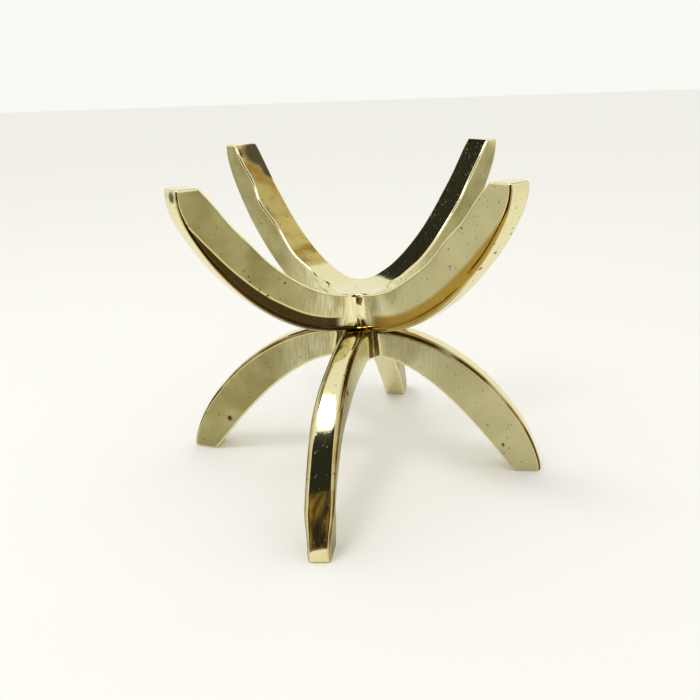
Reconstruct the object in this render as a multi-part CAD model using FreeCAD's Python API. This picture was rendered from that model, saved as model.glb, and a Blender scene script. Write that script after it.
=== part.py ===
import FreeCAD, Part
import math
import os

# A small cast brass plant stand: a cradle of four curved arms stands on four
# curved legs. Each arm and each leg is its own casting. Four of them are mitred
# at the root and brazed into a cross, and a screw from below clamps the two
# crosses together. Millimetres, +Z up, the floor at Z = 0, the screw's axis on Z,
# and the front of the stand towards -Y.

Vector = FreeCAD.Vector
ACROSS = Vector(0, 1, 0)
UP = Vector(0, 0, 1)

# the arms and legs meet at this height
seam_height = 54.8

# where a bar's sections stand, as shares of its hub seat and of its bend
root_shares = (0, 0.4, 0.7)
bend_shares = (0, 0.01, 0.02, 0.03, 0.045, 0.065, 0.1, 0.16, 0.25, 0.37, 0.5, 0.63, 0.75, 0.88, 1)

# an arm of the cradle: its section is a rounded trapezoid, wide on the inside
arm = {
    "inner_width": 11.8,
    "outer_width": 7.8,
    "inner_tip_width": 11.0,
    "outer_level": 0,
    "inner_level": 14.3,      # depth of the hub
    "end_flat": 6.8,          # length of the flat cut at the tip
    "end_edge": 0.7,          # radius round the flat
    "seat": 5.0,              # half length of the flat where the crosses meet
    "valley": 3.6,            # width of the braze fillet between two arms
    "edge": 0.9,              # edge radius at the tip and along the inside
    "root_edge": 3.4,         # the outer edges grow to this radius at the hub
    "outer_run": 37.2,        # how far the outside follows its hub direction
    "outer_lean_angle": -18.9,  # lean of the outside at the tip, from upright
    "outer_rise": 11.8,       # how far the outside follows its tip direction
    "inner_run": 30.0,
    "inner_lean_angle": 49.2,
    "inner_rise": 6.6,
    "bow": 0,                 # how far the middle of the bar bends to one side
}

# a leg, with its outside uppermost
leg = {
    "inner_width": 10.6,
    "outer_width": 8.6,
    "inner_tip_width": 9.2,
    "outer_tip_width": 7.2,
    "outer_level": 0,
    "inner_level": 10.9,
    "height": seam_height,
    "end_flat": 9.6,
    "end_edge": 0.9,
    "seat": 5.0,
    "valley": 3.0,
    "edge": 1.2,
    "root_edge": 2.6,
    "outer_run": 35.5,
    "outer_lean_angle": -2.2,
    "outer_rise": 15.1,
    "inner_run": 16.0,
    "inner_lean_angle": 38.0,
    "inner_rise": 33.0,
    "bow": 0,
}

# What differs from bar to bar, for these are filed and set by hand. Directions
# are seen from above, in degrees from +X, and go round anticlockwise. The reach
# runs from the axis to the outer corner of the tip.
arms = {
    "arm_back_right": {
        "direction_angle": 38.1, "reach": 68.0, "tip_height": 115.5, "outer_tip_width": 6.6},
    "arm_back_left": {
        "direction_angle": 132.6, "reach": 69.9, "tip_height": 115.6, "outer_tip_width": 9.0},
    "arm_front_left": {
        "direction_angle": 219.5, "reach": 70.2, "tip_height": 112.2, "outer_tip_width": 7.2},
    "arm_front_right": {
        "direction_angle": 307.1, "reach": 72.6, "tip_height": 113.0, "outer_tip_width": 7.8},
}
legs = {
    "leg_back": {"direction_angle": 74.6, "reach": 71.0},
    "leg_left": {"direction_angle": 165.4, "reach": 69.6},
    "leg_front": {"direction_angle": 256.5, "reach": 70.0, "inner_width": 12.4, "bow": 1.9},
    "leg_right": {"direction_angle": 348.7, "reach": 67.3},
}

# the screw that clamps the crosses, and its washer
screw_radius = 2.0
screw_head_radius = 3.6
screw_head_height = 2.4
screw_head_crown = 1.1    # radius that rounds the head's rim
screw_slot_width = 1.0
screw_slot_depth = 1.2
screw_engagement = 9.0    # how far the screw reaches up into the cradle
tap_run_out = 1.2         # the tapped hole goes on this far past the screw's end
washer_radius = 4.6
washer_thickness = 0.8
washer_clearance = 0.3
thread_clearance = 0.05   # round the screw where the arms are tapped
shank_clearance = 0.25    # round the screw where the legs are drilled

overrun = 5.0             # cuts run this far past what they cut
nearness = 0.01           # places nearer than this are the same place


def side_curve(bar, side, reach):
    """The outside or inside of the bend, from the hub's seat to the flat end."""
    lean = math.radians(bar[side + "_lean_angle"])
    level = bar[side + "_level"]
    end = Vector(reach, 0, bar["height"])
    curve = Part.BezierCurve()
    curve.setPoles([
        Vector(bar["seat"], 0, level),
        Vector(bar["seat"] + bar[side + "_run"], 0, level),
        end - Vector(math.sin(lean), 0, math.cos(lean)) * bar[side + "_rise"],
        end,
    ])
    return curve


def half_width(bar, side, x, seam_angle):
    """Half the width at a place along the bar, with the braze fillet towards the seam.

    The side is parallel or tapers to the tip. Near the root it swells by the fillet,
    as much again on each side of the seam, which it crosses at a right angle.
    """
    taper_share = min(x / bar["reach"], 1)
    half = (bar[side + "_width"] * (1 - taper_share) + bar[side + "_tip_width"] * taper_share) / 2
    at_seam = (bar[side + "_width"] / 2 + bar["valley"] / 2) / math.tan(seam_angle)
    slope_length = bar["valley"] * math.tan(seam_angle) / 4
    return half + bar["valley"] / (1 + math.exp((x - at_seam) / slope_length))


def rounded_corner(before, corner, after, radius):
    """The arc that rounds a corner between two straight sides: its ends and middle."""
    to_before = (before - corner).normalize()
    to_after = (after - corner).normalize()
    half_angle = to_before.getAngle(to_after) / 2
    bisector = (to_before + to_after).normalize()
    centre = corner + bisector * (radius / math.sin(half_angle))
    setback = radius / math.tan(half_angle)
    return corner + to_before * setback, centre - bisector * radius, corner + to_after * setback


def section(corners, radii):
    """A rounded trapezoid through four corners."""
    arcs = []
    for index, corner in enumerate(corners):
        before = corners[index - 1]
        after = corners[(index + 1) % len(corners)]
        arcs.append(rounded_corner(before, corner, after, radii[index]))
    edges = []
    for index, arc in enumerate(arcs):
        edges.append(Part.makeLine(arcs[index - 1][2], arc[0]))
        edges.append(Part.Arc(*arc).toShape())
    return Part.Wire(edges)


def bar_section(bar, outer_point, inner_point, left_seam, right_seam, share):
    """The bar's section across two facing points of the outside and the inside."""
    roll = bar["root_edge"] + (bar["edge"] - bar["root_edge"]) * share
    sideways = ACROSS * bar["bow"] * 4 * share * (1 - share)
    outer_middle = outer_point + sideways
    inner_middle = inner_point + sideways
    corners = [
        outer_middle + ACROSS * half_width(bar, "outer", outer_point.x, left_seam),
        inner_middle + ACROSS * half_width(bar, "inner", inner_point.x, left_seam),
        inner_middle - ACROSS * half_width(bar, "inner", inner_point.x, right_seam),
        outer_middle - ACROSS * half_width(bar, "outer", outer_point.x, right_seam),
    ]
    return section(corners, (roll, bar["edge"], bar["edge"], roll))


def facing_share(outer_curve, inner_curve, share):
    """Where on the inside a section stands that starts at a share of the outside.

    Near the hub it is the nearest place on the inside, and towards the flat end the
    same share of the inside, so that the two curves reach the flat together.
    """
    nearest = inner_curve.parameter(outer_curve.value(share))
    return nearest * (1 - share ** 2) + share * share ** 2


def bar_body(bar, left_seam, right_seam):
    """The curved bar, lofted through its sections from the axis to the flat end."""
    outer_curve = side_curve(bar, "outer", bar["reach"])
    inner_curve = side_curve(bar, "inner", bar["reach"] - bar["end_flat"])
    sections = []
    for share in root_shares:
        outer_point = Vector(bar["seat"] * share, 0, bar["outer_level"])
        inner_point = Vector(bar["seat"] * share, 0, bar["inner_level"])
        sections.append(bar_section(bar, outer_point, inner_point, left_seam, right_seam, 0))
    for share in bend_shares:
        outer_point = outer_curve.value(share)
        inner_point = inner_curve.value(facing_share(outer_curve, inner_curve, share))
        sections.append(bar_section(bar, outer_point, inner_point, left_seam, right_seam, share))
    return Part.makeLoft(sections, True, False)


def mitre(bar, left_seam, right_seam):
    """The wedge that a bar fills between its two seams, seen from above."""
    length = 2 * bar["reach"]
    left = Vector(math.cos(left_seam), math.sin(left_seam), 0) * length
    right = Vector(math.cos(right_seam), -math.sin(right_seam), 0) * length
    face = Part.Face(Part.makePolygon([Vector(0, 0, 0), right, left, Vector(0, 0, 0)]))
    face.translate(UP * -overrun)
    return face.extrude(UP * (bar["height"] + 2 * overrun))


def make_bar(bar, left_seam, right_seam):
    """One casting along +X, its outside facing down and its mitres at the root."""
    body = bar_body(bar, left_seam, right_seam)
    solid = body.common(mitre(bar, left_seam, right_seam)).Solids[0]
    rim = []
    for edge in solid.Edges:
        if edge.BoundBox.ZMin > bar["height"] - nearness:
            rim.append(edge)
    return solid.makeFillet(bar["end_edge"], rim).Solids[0]


def seam_angles(bars):
    """Each bar, with the angles from its direction to the seams on its left and right."""
    names = list(bars)
    rows = []
    for index, name in enumerate(names):
        here = bars[name]["direction_angle"]
        following = bars[names[(index + 1) % len(names)]]["direction_angle"]
        preceding = bars[names[index - 1]]["direction_angle"]
        left_seam = math.radians((following - here) % 360) / 2
        right_seam = math.radians((here - preceding) % 360) / 2
        rows.append((name, bars[name], left_seam, right_seam))
    return rows


def axis_cylinder(radius, bottom, top):
    return Part.makeCylinder(radius, top - bottom, UP * bottom, UP)


def make_arms():
    """The cradle: four arms on the seam, with a blind hole tapped for the screw."""
    hole = axis_cylinder(screw_radius + thread_clearance,
                         seam_height - overrun,
                         seam_height + screw_engagement + tap_run_out)
    whole_arms = {}
    for name, own in arms.items():
        whole_arms[name] = {**arm, **own, "height": own["tip_height"] - seam_height}
    solids = {}
    for name, bar, left_seam, right_seam in seam_angles(whole_arms):
        solid = make_bar(bar, left_seam, right_seam)
        solid.rotate(Vector(0, 0, 0), UP, bar["direction_angle"])
        solid.translate(UP * seam_height)
        solids[name] = solid.cut(hole)
    return solids


def make_legs():
    """The foot cross: four legs, bent the other way up and drilled for the screw."""
    hole = axis_cylinder(screw_radius + shank_clearance,
                         seam_height - leg["inner_level"] - overrun,
                         seam_height + overrun)
    whole_legs = {name: {**leg, **own} for name, own in legs.items()}
    solids = {}
    for name, bar, left_seam, right_seam in seam_angles(whole_legs):
        solid = make_bar(bar, right_seam, left_seam)
        solid.rotate(Vector(0, 0, 0), Vector(1, 0, 0), 180)
        solid.rotate(Vector(0, 0, 0), UP, bar["direction_angle"])
        solid.translate(UP * seam_height)
        solids[name] = solid.cut(hole)
    return solids


def make_washer():
    """A plain washer under the leg cross."""
    top = seam_height - leg["inner_level"]
    bottom = top - washer_thickness
    disc = axis_cylinder(washer_radius, bottom, top)
    hole = axis_cylinder(screw_radius + washer_clearance, bottom - overrun, top + overrun)
    return disc.cut(hole)


def make_screw():
    """A slotted screw, its head under the washer and its end in the cradle."""
    under_washer = seam_height - leg["inner_level"] - washer_thickness
    head_bottom = under_washer - screw_head_height
    head = axis_cylinder(screw_head_radius, head_bottom, under_washer)
    rim = [edge for edge in head.Edges if abs(edge.CenterOfMass.z - head_bottom) < nearness]
    head = head.makeFillet(screw_head_crown, rim)
    slot_length = 2 * (screw_head_radius + overrun)
    slot = Part.makeBox(slot_length, screw_slot_width, screw_slot_depth + overrun,
                        Vector(-slot_length / 2, -screw_slot_width / 2, head_bottom - overrun))
    shank = axis_cylinder(screw_radius, under_washer, seam_height + screw_engagement)
    return head.fuse(shank).removeSplitter().cut(slot)


pieces = {}
pieces.update(make_arms())
pieces.update(make_legs())
pieces["screw_washer"] = make_washer()
pieces["centre_screw"] = make_screw()

os.makedirs("parts", exist_ok=True)
for name, shape in pieces.items():
    solid = shape.Solids[0]
    solid.exportStep("parts/" + name + ".step")
    print(name, "valid" if solid.isValid() else "NOT VALID", len(shape.Solids), "solid",
          len(solid.Faces), "faces", round(solid.Volume / 1000, 2), "cm3")
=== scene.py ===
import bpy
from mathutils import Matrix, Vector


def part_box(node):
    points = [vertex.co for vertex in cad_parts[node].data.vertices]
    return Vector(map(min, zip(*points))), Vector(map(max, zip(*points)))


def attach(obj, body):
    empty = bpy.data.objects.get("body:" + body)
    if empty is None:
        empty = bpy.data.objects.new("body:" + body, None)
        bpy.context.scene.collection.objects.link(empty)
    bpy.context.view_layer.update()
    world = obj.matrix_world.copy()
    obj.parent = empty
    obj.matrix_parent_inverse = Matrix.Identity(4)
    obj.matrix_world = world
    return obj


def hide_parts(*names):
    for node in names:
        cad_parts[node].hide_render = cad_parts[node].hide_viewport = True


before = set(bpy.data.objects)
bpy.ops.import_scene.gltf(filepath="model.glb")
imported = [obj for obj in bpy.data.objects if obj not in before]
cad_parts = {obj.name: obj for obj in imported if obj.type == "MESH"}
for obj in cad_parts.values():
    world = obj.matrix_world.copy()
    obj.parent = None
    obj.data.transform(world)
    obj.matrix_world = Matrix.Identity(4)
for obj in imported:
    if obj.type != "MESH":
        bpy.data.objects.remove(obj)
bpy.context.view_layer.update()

import math

import bmesh
import bpy
from mathutils import Matrix, Vector

# The photograph's view: a phone held low in front of the stand, about a foot away,
# tilted down and leaning a little to one side.
camera_place = Vector((-0.0037, -0.2674, 0.1446))
camera_yaw = math.radians(-0.04)
camera_tilt = math.radians(20.51)
camera_lean = math.radians(-1.962)
camera = bpy.data.objects.new("camera", bpy.data.cameras.new("camera"))
camera_sensor = 36.0                # millimetres
camera_lens = 39.46
nearest_seen = 0.01                 # metres
camera.data.sensor_width = camera_sensor
camera.data.lens = camera_lens
camera.data.clip_start = nearest_seen
camera.matrix_world = (
    Matrix.Translation(camera_place)
    @ Matrix.Rotation(-camera_yaw, 4, "Z")
    @ Matrix.Rotation(math.pi / 2 - camera_tilt, 4, "X")
    @ Matrix.Rotation(camera_lean, 4, "Z")
)
bpy.context.scene.collection.objects.link(camera)
bpy.context.scene.camera = camera
bpy.context.scene.view_settings.view_transform = "Standard"


# The eight bars: sand-cast yellow brass, filed to shape and polished by hand. The flat
# faces keep a dull olive film, darkened further as a painted dim reflection, and fine
# pits; the rolled edges are worn bright and carry painted reflections, and the valley of
# the arms has painted highlights. Each bar is brazed at its root.
class Tone:
    """A number or colour that varies over a surface. Arithmetic on it adds Math nodes."""

    def __init__(self, finish, socket):
        self.finish = finish
        self.socket = socket

    def with_math(self, operation, first, second):
        return self.finish.add("ShaderNodeMath", {"operation": operation}, {0: first, 1: second})

    def __add__(self, other):
        return self.with_math("ADD", self, other)

    def __radd__(self, other):
        return self.with_math("ADD", other, self)

    def __sub__(self, other):
        return self.with_math("SUBTRACT", self, other)

    def __rsub__(self, other):
        return self.with_math("SUBTRACT", other, self)

    def __mul__(self, other):
        return self.with_math("MULTIPLY", self, other)

    def __rmul__(self, other):
        return self.with_math("MULTIPLY", other, self)


class Finish:
    """The nodes of one material, built up step by step."""

    def __init__(self, name):
        self.material = bpy.data.materials.new(name)
        self.material.use_nodes = True
        self.tree = self.material.node_tree
        self.shader = self.tree.nodes["Principled BSDF"]
        self.place = self.add("ShaderNodeTexCoord", {}, {}, "Object")
        self.facing = self.add("ShaderNodeNewGeometry", {}, {}, "Normal")

    def add(self, kind, settings, inputs, output=0):
        node = self.tree.nodes.new(kind)
        for setting, value in settings.items():
            if setting == "stops":
                self.set_stops(node.color_ramp, value)
            else:
                setattr(node, setting, value)
        self.feed(node, inputs)
        return Tone(self, node.outputs[output])

    def set_stops(self, ramp, stops):
        while len(ramp.elements) < len(stops):
            ramp.elements.new(1.0)
        for element, (position, colour) in zip(ramp.elements, stops):
            element.position = position
            element.color = (*colour, 1.0)

    def feed(self, node, inputs):
        for name, value in inputs.items():
            if isinstance(value, Tone):
                self.tree.links.new(value.socket, node.inputs[name])
            else:
                node.inputs[name].default_value = value

    def step(self, tone, low, high):
        """0 where the tone is below low, 1 above high, and a smooth ramp between."""
        return self.add("ShaderNodeMapRange", {"interpolation_type": "SMOOTHSTEP"},
                        {"Value": tone, "From Min": low, "From Max": high})

    def noise(self, size, detail=2.0, stretch=(1.0, 1.0, 1.0), turn=0.0):
        """Clouds of a size in metres, drawn out by a stretch on axes turned about Z."""
        scale = [1.0 / (size * share) for share in stretch]
        there = self.add("ShaderNodeMapping", {}, {"Vector": self.place, "Rotation": (0, 0, turn)})
        drawn = self.add("ShaderNodeMapping", {}, {"Vector": there, "Scale": scale})
        return self.add("ShaderNodeTexNoise", {}, {"Vector": drawn, "Scale": 1.0, "Detail": detail})

    def along(self, direction, vector=None):
        """How far the place, or another vector, lies along a direction."""
        return self.add("ShaderNodeVectorMath", {"operation": "DOT_PRODUCT"},
                        {0: vector or self.place, 1: direction}, "Value")

    def spot(self, centre, radius, blur, raggedness):
        """1 within a radius of a place and 0 past it, over a blur, with a ragged rim."""
        distance = self.add("ShaderNodeVectorMath", {"operation": "DISTANCE"},
                            {0: self.place, 1: centre}, "Value")
        return 1.0 - self.step(distance + raggedness, radius, radius + blur)

    def mix(self, share, first, second):
        return self.add("ShaderNodeMix", {"data_type": "RGBA", "clamp_factor": True},
                        {0: share, 6: first, 7: second}, 2)


# the dull side film, darkened further as a painted dim reflection
film_olive_and_dim_reflection = (0.29, 0.255, 0.095, 1)
film_straw_and_dim_reflection = (0.41, 0.365, 0.165, 1)
filed_pale = (0.80, 0.76, 0.46, 1)
brass_bright = (0.82, 0.76, 0.45, 1)
# painted gold, amber and dark reflections along the rolled edges
gold_reflection = (0.85, 0.72, 0.33, 1)
amber_reflection = (0.40, 0.25, 0.035, 1)
dark_reflection = (0.050, 0.028, 0.006, 1)
pit_brown = (0.045, 0.030, 0.010, 1)
# a painted highlight in the valley of the arms
valley_highlight = (0.95, 0.90, 0.62, 1)

# an arm's lower edge, as seen from the side: its height at the axis and how it climbs
edge_height = 0.0562
edge_curvature = 10.3
reflection_band_length = 0.055                # from the axis to where a painted reflection band has run out
reflection_band_raggedness = 0.0010
gold_line_heights = (0.0003, 0.0008)    # above a painted reflection band: where its painted gold line fades
# how a finish changes on the way out from the axis: all hub up to the first distance
hub_reach = (0.014, 0.038)
valley_reach = (0.011, 0.015)
# how squarely a face looks across the bar: rolled edge below the first, flat side above
side_facings = (0.93, 0.965)
relief_depth = 0.0006
tip_depth = 0.002


def cast_brass(name, heading, at_top, marks, reflection_band, polish_and_reflection):
    """Brass for one bar that runs from the axis in the direction of its heading.

    A mark is a dark pit: how far out it lies, how far to the left, how high and how big.
    A reflection band is a painted reflection, dark or amber, above the bar's lower edge.
    Polish is how far its sides have lost their film and its painted dim reflection.
    """
    finish = Finish(name)
    outward = Vector((math.cos(heading), math.sin(heading), 0))
    across = Vector((-math.sin(heading), math.cos(heading), 0))
    upward = Vector((0, 0, 1))
    outside = (outward - upward if at_top else outward + upward).normalized()

    # where on the bar: its flat sides, its outside and the rolled edges between them
    sidedness = finish.add("ShaderNodeMath", {"operation": "ABSOLUTE"},
                           {0: finish.along(across, finish.facing)})
    outside_facing = finish.along(outside, finish.facing)
    on_side = finish.step(sidedness, *side_facings)
    off_side = 1.0 - on_side
    on_outside = finish.step(outside_facing, 0.02, 0.25)
    far_out = finish.along(outward)
    height_up = finish.along(upward)
    near_hub = 1.0 - finish.step(far_out, *hub_reach)
    steepness = finish.add("ShaderNodeMath", {"operation": "ABSOLUTE"},
                           {0: finish.along(upward, finish.facing)})
    level = 1.0 - finish.step(steepness, 0.25, 0.40)
    in_valley = (1.0 - finish.step(far_out, *valley_reach)) * level

    # the grain of the metal
    clouds = finish.noise(size=0.014)
    long_clouds = finish.noise(size=0.022, detail=3.0)
    streaks = finish.noise(size=0.0010, stretch=(20.0, 1.0, 1.0), turn=-heading)
    file_lines = finish.noise(size=0.0007, stretch=(1.0, 1.0, 16.0), turn=-heading)
    grit = finish.noise(size=0.0008, detail=4.0)
    specks = finish.step(finish.noise(size=0.0011), 0.67, 0.74)
    wide_specks = finish.step(finish.noise(size=0.0026, detail=4.0), 0.71, 0.76)

    # the flat sides: a dull film, darkened as a painted dim reflection, lighter where polished
    side_film_and_dim_reflection = finish.mix(finish.step(clouds, 0.35, 0.65), film_olive_and_dim_reflection, film_straw_and_dim_reflection)
    side_film_and_dim_reflection = finish.mix(polish_and_reflection, side_film_and_dim_reflection, filed_pale)
    file_marks = 0.55 + 0.45 * finish.step(file_lines, 0.35, 0.65)
    filed = finish.mix(near_hub * file_marks, side_film_and_dim_reflection, filed_pale)
    colour = finish.mix(on_side, brass_bright, filed)

    # the rolled edge along the outside carries painted reflections: gold where it leaves the
    # side, then dark, then amber; in the valley of the arms, painted highlights follow the file lines
    painted_ridge_reflection = on_outside * (0.45 + 0.55 * finish.step(long_clouds, 0.38, 0.6))
    if at_top:
        painted_ridge_reflection = painted_ridge_reflection * (1.0 - in_valley)
        colour = finish.mix(in_valley * finish.step(file_lines, 0.42, 0.58), colour, valley_highlight)
    amber_reflection_band = finish.step(sidedness, 0.15, 0.40) * off_side
    dark_reflection_band = finish.step(sidedness, 0.52, 0.66) * (1.0 - finish.step(sidedness, 0.90, 0.935))
    gold_reflection_band = finish.step(sidedness, 0.90, 0.94) * (1.0 - finish.step(sidedness, 0.955, 0.975))
    colour = finish.mix(painted_ridge_reflection * amber_reflection_band * 0.85, colour, amber_reflection)
    colour = finish.mix(painted_ridge_reflection * dark_reflection_band, colour, dark_reflection)
    colour = finish.mix(on_outside * gold_reflection_band * 0.8, colour, gold_reflection)

    # a painted reflection in a band above the bar's lower edge, with a painted gold line along its rim
    if reflection_band:
        band_colour, width, blur, gold_share = reflection_band
        above_edge = height_up - edge_height - edge_curvature * far_out * far_out
        above_edge = above_edge + reflection_band_raggedness * long_clouds
        band_top = width - width / reflection_band_length * far_out
        above_band = above_edge - band_top
        band = 1.0 - finish.step(above_band, -blur, 0.0)
        line_end = 1.0 - finish.step(above_band, *gold_line_heights)
        gold_line = finish.step(above_band, -blur, 0.0) * line_end
        in_band = band * (1.0 - in_valley) * finish.step(sidedness, 0.45, 0.62)
        colour = finish.mix(gold_line * on_side * gold_share, colour, gold_reflection)
        colour = finish.mix(in_band * 0.96, colour, band_colour)

    pitted = 0.75 * specks + 0.9 * wide_specks
    for out, left, up, radius in marks:
        centre = outward * out + across * left + upward * up
        pitted = pitted + finish.spot(centre, radius, radius, 0.0016 * grit)
    pitted = finish.step(pitted, 0.0, 1.0)
    colour = finish.mix(pitted * 0.9, colour, pit_brown)

    side_gloss = 0.27 + 0.10 * clouds + 0.10 * streaks
    edge_gloss = 0.045 + 0.03 * clouds + 0.05 * streaks
    roughness = side_gloss * on_side + edge_gloss * off_side + 0.3 * pitted
    swell = finish.noise(size=0.010, detail=1.0)
    height = (0.35 * swell + 0.010 * streaks + 0.008 * grit - 0.06 * pitted
              + 0.035 * file_lines * near_hub)
    relief = finish.add("ShaderNodeBump", {},
                        {"Height": height, "Distance": relief_depth, "Strength": 0.6}, "Normal")
    finish.feed(finish.shader, {"Base Color": colour, "Roughness": roughness, "Metallic": 1.0,
                                "Normal": relief})
    return finish.material


def heading_of(node, at_top):
    """The direction of a bar's tip from the axis, seen from above."""
    low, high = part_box(node)
    end = high[2] if at_top else low[2]
    places = [vertex.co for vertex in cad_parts[node].data.vertices]
    tip = [place for place in places if abs(place.z - end) < tip_depth]
    middle = sum(tip, Vector()) / len(tip)
    return math.atan2(middle.y, middle.x)


# the larger casting pits and scars: out, left, up and radius
bar_marks = {
    "arm_front_left": [
        (0.0552, 0.0047, 0.0905, 0.0005), (0.0520, 0.0045, 0.0860, 0.0004),
        (0.0483, 0.0043, 0.0812, 0.0007),
        (0.0450, 0.0044, 0.0780, 0.0008), (0.0420, 0.0045, 0.0755, 0.0008),
        (0.0391, 0.0045, 0.0737, 0.0006),
        (0.0469, 0.0054, 0.0882, 0.0004), (0.0357, 0.0053, 0.0785, 0.0007),
        (0.0700, 0.0010, 0.1100, 0.0016),
    ],
    "arm_back_left": [(0.0600, -0.0030, 0.1120, 0.0042), (0.0560, -0.0055, 0.1050, 0.0030)],
    "arm_front_right": [
        (0.0663, -0.0030, 0.0959, 0.0008), (0.0644, -0.0001, 0.0921, 0.0009),
        (0.0605, -0.0020, 0.0870, 0.0010),
        (0.0581, -0.0036, 0.0857, 0.0008), (0.0473, -0.0054, 0.0879, 0.0004),
    ],
    "leg_left": [(0.0530, 0.0045, 0.0141, 0.0012), (0.0457, 0.0043, 0.0300, 0.0005)],
    "leg_front": [(0.0351, 0.0026, 0.0424, 0.0012), (0.0300, -0.0020, 0.0480, 0.0005)],
    "leg_right": [
        (0.0533, -0.0044, 0.0106, 0.0009), (0.0544, -0.0041, 0.0195, 0.0006),
        (0.0556, -0.0041, 0.0175, 0.0005),
        (0.0251, -0.0043, 0.0470, 0.0006), (0.0290, -0.0043, 0.0435, 0.0004),
        (0.0335, -0.0043, 0.0396, 0.0005),
    ],
}
# the painted reflection band on the two front arms: its colour, its width at the hub, how
# soft its upper rim is, and how much painted gold reflection shows along that rim
reflection_bands = {
    "arm_front_left": (dark_reflection, 0.0052, 0.0004, 0.8),
    "arm_front_right": (amber_reflection, 0.0070, 0.0018, 0.0),
}
# how far each bar's sides have lost their dull film and its painted dim reflection
bar_polish_and_reflection = {"arm_front_right": 0.42, "leg_left": 0.06, "leg_right": 0.44}
bars_at_top = {"arm": True, "leg": False}
for node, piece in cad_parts.items():
    kind = node.split("_")[0]
    if kind in bars_at_top:
        at_top = bars_at_top[kind]
        brass = cast_brass(node + "_brass", heading_of(node, at_top), at_top,
                           bar_marks.get(node, []), reflection_bands.get(node),
                           bar_polish_and_reflection.get(node, 0.0))
        piece.data.materials.clear()
        piece.data.materials.append(brass)


# The front leg: the same casting, but filed broader along its outside than the others
# and set with a slight twist, so that its polished face looks straight to the front. It
# keeps its place in the hub and on the floor.
front_twist = math.radians(11)      # about the upright, at the foot
outside_broadening = 0.30           # at mid height, as a share of the width
inside_narrowing = 0.22
twist_heights = (0.008, 0.046)      # all of the twist below the first, none above the second
broad_heights = (0.004, 0.016, 0.036, 0.052)
level_step = 0.003
same_place = 1e-6                   # vertices closer than this are one
crease_angle = math.radians(32)     # a sharper edge than this isn't smoothed over
front_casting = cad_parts["leg_front"]
front_heading = heading_of("leg_front", False)
front_outward = Vector((math.cos(front_heading), math.sin(front_heading), 0))
front_across = Vector((-math.sin(front_heading), math.cos(front_heading), 0))


def eased(value, low, high):
    """0 below low, 1 above high and a smooth rise between."""
    share = min(max((value - low) / (high - low), 0), 1)
    return share * share * (3 - 2 * share)


def extent_at_levels(points, direction):
    """The lowest and highest place along a direction, for each level above the floor."""
    extents = {}
    for point in points:
        level = round(point.z / level_step)
        along = point.dot(direction)
        low, high = extents.get(level, (along, along))
        extents[level] = (min(low, along), max(high, along))
    return extents


def extent_at(extents, height):
    """The extent at any height, between the two nearest levels."""
    level = min(max(height / level_step, min(extents)), max(extents))
    below = max(known for known in extents if known <= level)
    above = min(known for known in extents if known >= level)
    share = (level - below) / max(above - below, 1)
    return [extents[below][end] * (1 - share) + extents[above][end] * share for end in (0, 1)]


leg_shape = bmesh.new()
leg_shape.from_mesh(front_casting.data)
bmesh.ops.remove_doubles(leg_shape, verts=leg_shape.verts, dist=same_place)
places = [vertex.co.copy() for vertex in leg_shape.verts]
out_extents = extent_at_levels(places, front_outward)
left_extents = extent_at_levels(places, front_across)
for vertex, spot in zip(leg_shape.verts, places):
    inner_out, outer_out = extent_at(out_extents, spot.z)
    right_left, left_left = extent_at(left_extents, spot.z)
    middle_out = (inner_out + outer_out) / 2
    middle_left = (right_left + left_left) / 2
    out = spot.dot(front_outward) - middle_out
    left = spot.dot(front_across) - middle_left
    twisted = 1 - eased(spot.z, *twist_heights)
    broad = eased(spot.z, *broad_heights[:2]) * (1 - eased(spot.z, *broad_heights[2:]))
    outer_share = eased(out, -(outer_out - inner_out) / 2, (outer_out - inner_out) / 2)
    left *= 1 + broad * (outside_broadening * outer_share - inside_narrowing * (1 - outer_share))
    turn = front_twist * twisted
    turned_out = out * math.cos(turn) - left * math.sin(turn)
    turned_left = out * math.sin(turn) + left * math.cos(turn)
    vertex.co = (front_outward * (middle_out + turned_out)
                 + front_across * (middle_left + turned_left)
                 + Vector((0, 0, spot.z)))
leg_mesh = bpy.data.meshes.new("front_leg_set")
leg_shape.to_mesh(leg_mesh)
leg_shape.free()
leg_mesh.polygons.foreach_set("use_smooth", [True] * len(leg_mesh.polygons))
leg_mesh.set_sharp_from_angle(angle=crease_angle)
leg_mesh.materials.append(front_casting.data.materials[0])
front_leg = bpy.data.objects.new("front_leg_set", leg_mesh)
bpy.context.scene.collection.objects.link(front_leg)
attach(front_leg, "root")
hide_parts("leg_front")


# The screw and its washer: they clamp the two crosses together from below, and are
# hidden under the hub. Both are plain turned metal, a steel screw through a brass
# washer, a little darkened.
turned_dull = (0.30, 0.28, 0.24, 1)
turned_clean = (0.45, 0.42, 0.36, 1)
for node in ("screw_washer", "centre_screw"):
    finish = Finish(node + "_metal")
    wear = finish.noise(size=0.002)
    colour = finish.mix(wear, turned_dull, turned_clean)
    finish.feed(finish.shader, {"Base Color": colour, "Roughness": 0.25 + 0.2 * wear, "Metallic": 1.0})
    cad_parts[node].data.materials.clear()
    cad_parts[node].data.materials.append(finish.material)


# The studio: a plain pale floor under an even pale room, a soft lamp above the front
# and dull cards that only the polished metal shows, which give it its dark lines.
def flat_piece(name, corners, material):
    mesh = bpy.data.meshes.new(name)
    sheet = bmesh.new()
    sheet.faces.new([sheet.verts.new(corner) for corner in corners])
    sheet.to_mesh(mesh)
    sheet.free()
    mesh.materials.append(material)
    piece = bpy.data.objects.new(name, mesh)
    bpy.context.scene.collection.objects.link(piece)
    return piece


def dull_paint(name, colour):
    paint = bpy.data.materials.new(name)
    paint.use_nodes = True
    paint.node_tree.nodes["Principled BSDF"].inputs["Base Color"].default_value = colour
    paint.node_tree.nodes["Principled BSDF"].inputs["Roughness"].default_value = 1.0
    return paint


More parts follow.
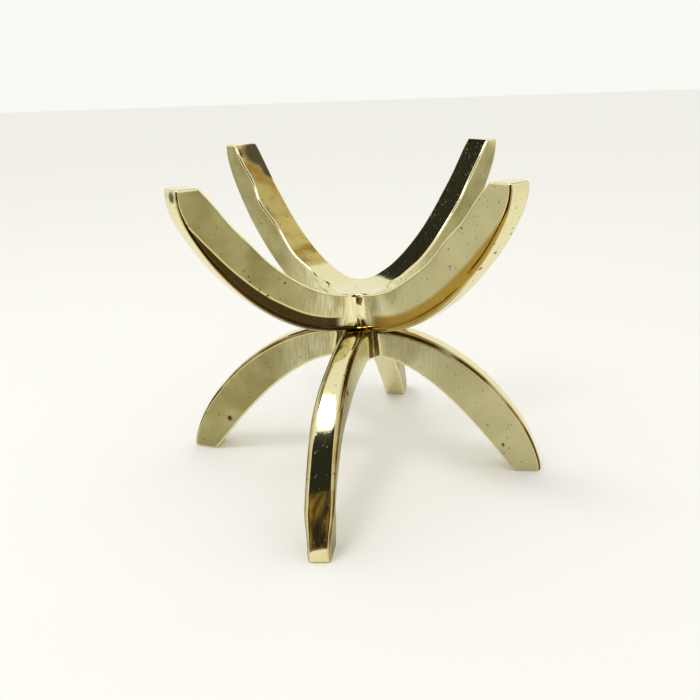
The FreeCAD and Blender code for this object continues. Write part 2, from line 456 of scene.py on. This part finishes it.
half_floor = 3.0
floor_colour = (0.905, 0.90, 0.875, 1)
flat_piece("floor", [(-half_floor, -half_floor, 0), (half_floor, -half_floor, 0),
                     (half_floor, half_floor, 0), (-half_floor, half_floor, 0)],
           dull_paint("pale_floor", floor_colour))


def streaky_paint(name, dull, warm, stretch):
    """A dark surface with warm streaks, for what the polished metal mirrors."""
    finish = Finish(name)
    streaks = finish.noise(size=0.012, stretch=stretch)
    colour = finish.mix(finish.step(streaks, 0.50, 0.62), dull, warm)
    finish.feed(finish.shader, {"Base Color": colour, "Roughness": 1.0})
    return finish.material


def reflector(name, centre, width, height, lean, turn, paint):
    """A card that only shows in reflections, leaning back and turned about Z."""
    place = (Matrix.Translation(Vector(centre)) @ Matrix.Rotation(turn, 4, "Z")
             @ Matrix.Rotation(lean, 4, "X"))
    corners = [place @ Vector((x * width / 2, 0, z * height / 2))
               for x, z in ((-1, -1), (1, -1), (1, 1), (-1, 1))]
    card = flat_piece(name, corners, paint)
    card.visible_camera = False
    card.visible_diffuse = False
    card.visible_shadow = False


flat = math.pi / 2
leaning = -math.pi / 4
card_black = (0.012, 0.013, 0.008, 1)
front_black = (0.008, 0.008, 0.004, 1)
front_amber = (0.40, 0.23, 0.03, 1)
side_cream = (0.70, 0.62, 0.36, 1)
side_amber = (0.36, 0.20, 0.035, 1)
dark_paint = dull_paint("card_dark", card_black)
front_paint = streaky_paint("card_front", front_black, front_amber, (0.7, 9.0, 14.0))
amber_paint = streaky_paint("card_amber", side_cream, side_amber, (2.0, 5.0, 1.0))
# each card: its name, centre, width, height, lean, turn and paint
reflector("front_floor_card", (-0.07, -0.27, 0.001), 0.09, 0.37, flat, 0, front_paint)
reflector("front_card", (-0.14, -0.46, 0.17), 0.5, 0.34, 0, 0, front_paint)
reflector("front_high_card", (-0.20, -0.36, 0.44), 0.5, 0.3, leaning, 0, dark_paint)
reflector("left_card", (-0.30, 0.38, 0.5), 0.40, 0.52, flat, 0, dark_paint)
# a millimetre lower, because it overlaps the left card
reflector("left_back_card", (-0.16, 0.54, 0.499), 0.28, 0.40, flat, 0, dark_paint)
reflector("right_card", (0.31, 0.20, 0.5), 0.32, 0.32, flat, 0, amber_paint)
reflector("right_dark_card", (0.24, 0.10, 0.49), 0.10, 0.08, flat, 0, dark_paint)

lamp_width = 0.24
lamp_height = 0.16
lamp_watts = 1.1
lamp_place = Vector((-0.22, -0.17, 0.75))
lamp_data = bpy.data.lights.new("front_lamp", "AREA")
lamp_data.shape = "RECTANGLE"
lamp_data.size = lamp_width
lamp_data.size_y = lamp_height
lamp_data.energy = lamp_watts
lamp = bpy.data.objects.new("front_lamp", lamp_data)
lamp_aim = lamp_place.to_track_quat("Z", "Y").to_matrix().to_4x4()
lamp.matrix_world = Matrix.Translation(lamp_place) @ lamp_aim
bpy.context.scene.collection.objects.link(lamp)

room_colour = (0.955, 0.947, 0.905, 1)
room = bpy.data.worlds.new("pale_room")
room.use_nodes = True
room.node_tree.nodes["Background"].inputs["Color"].default_value = room_colour
room.node_tree.nodes["Background"].inputs["Strength"].default_value = 1.0
bpy.context.scene.world = room
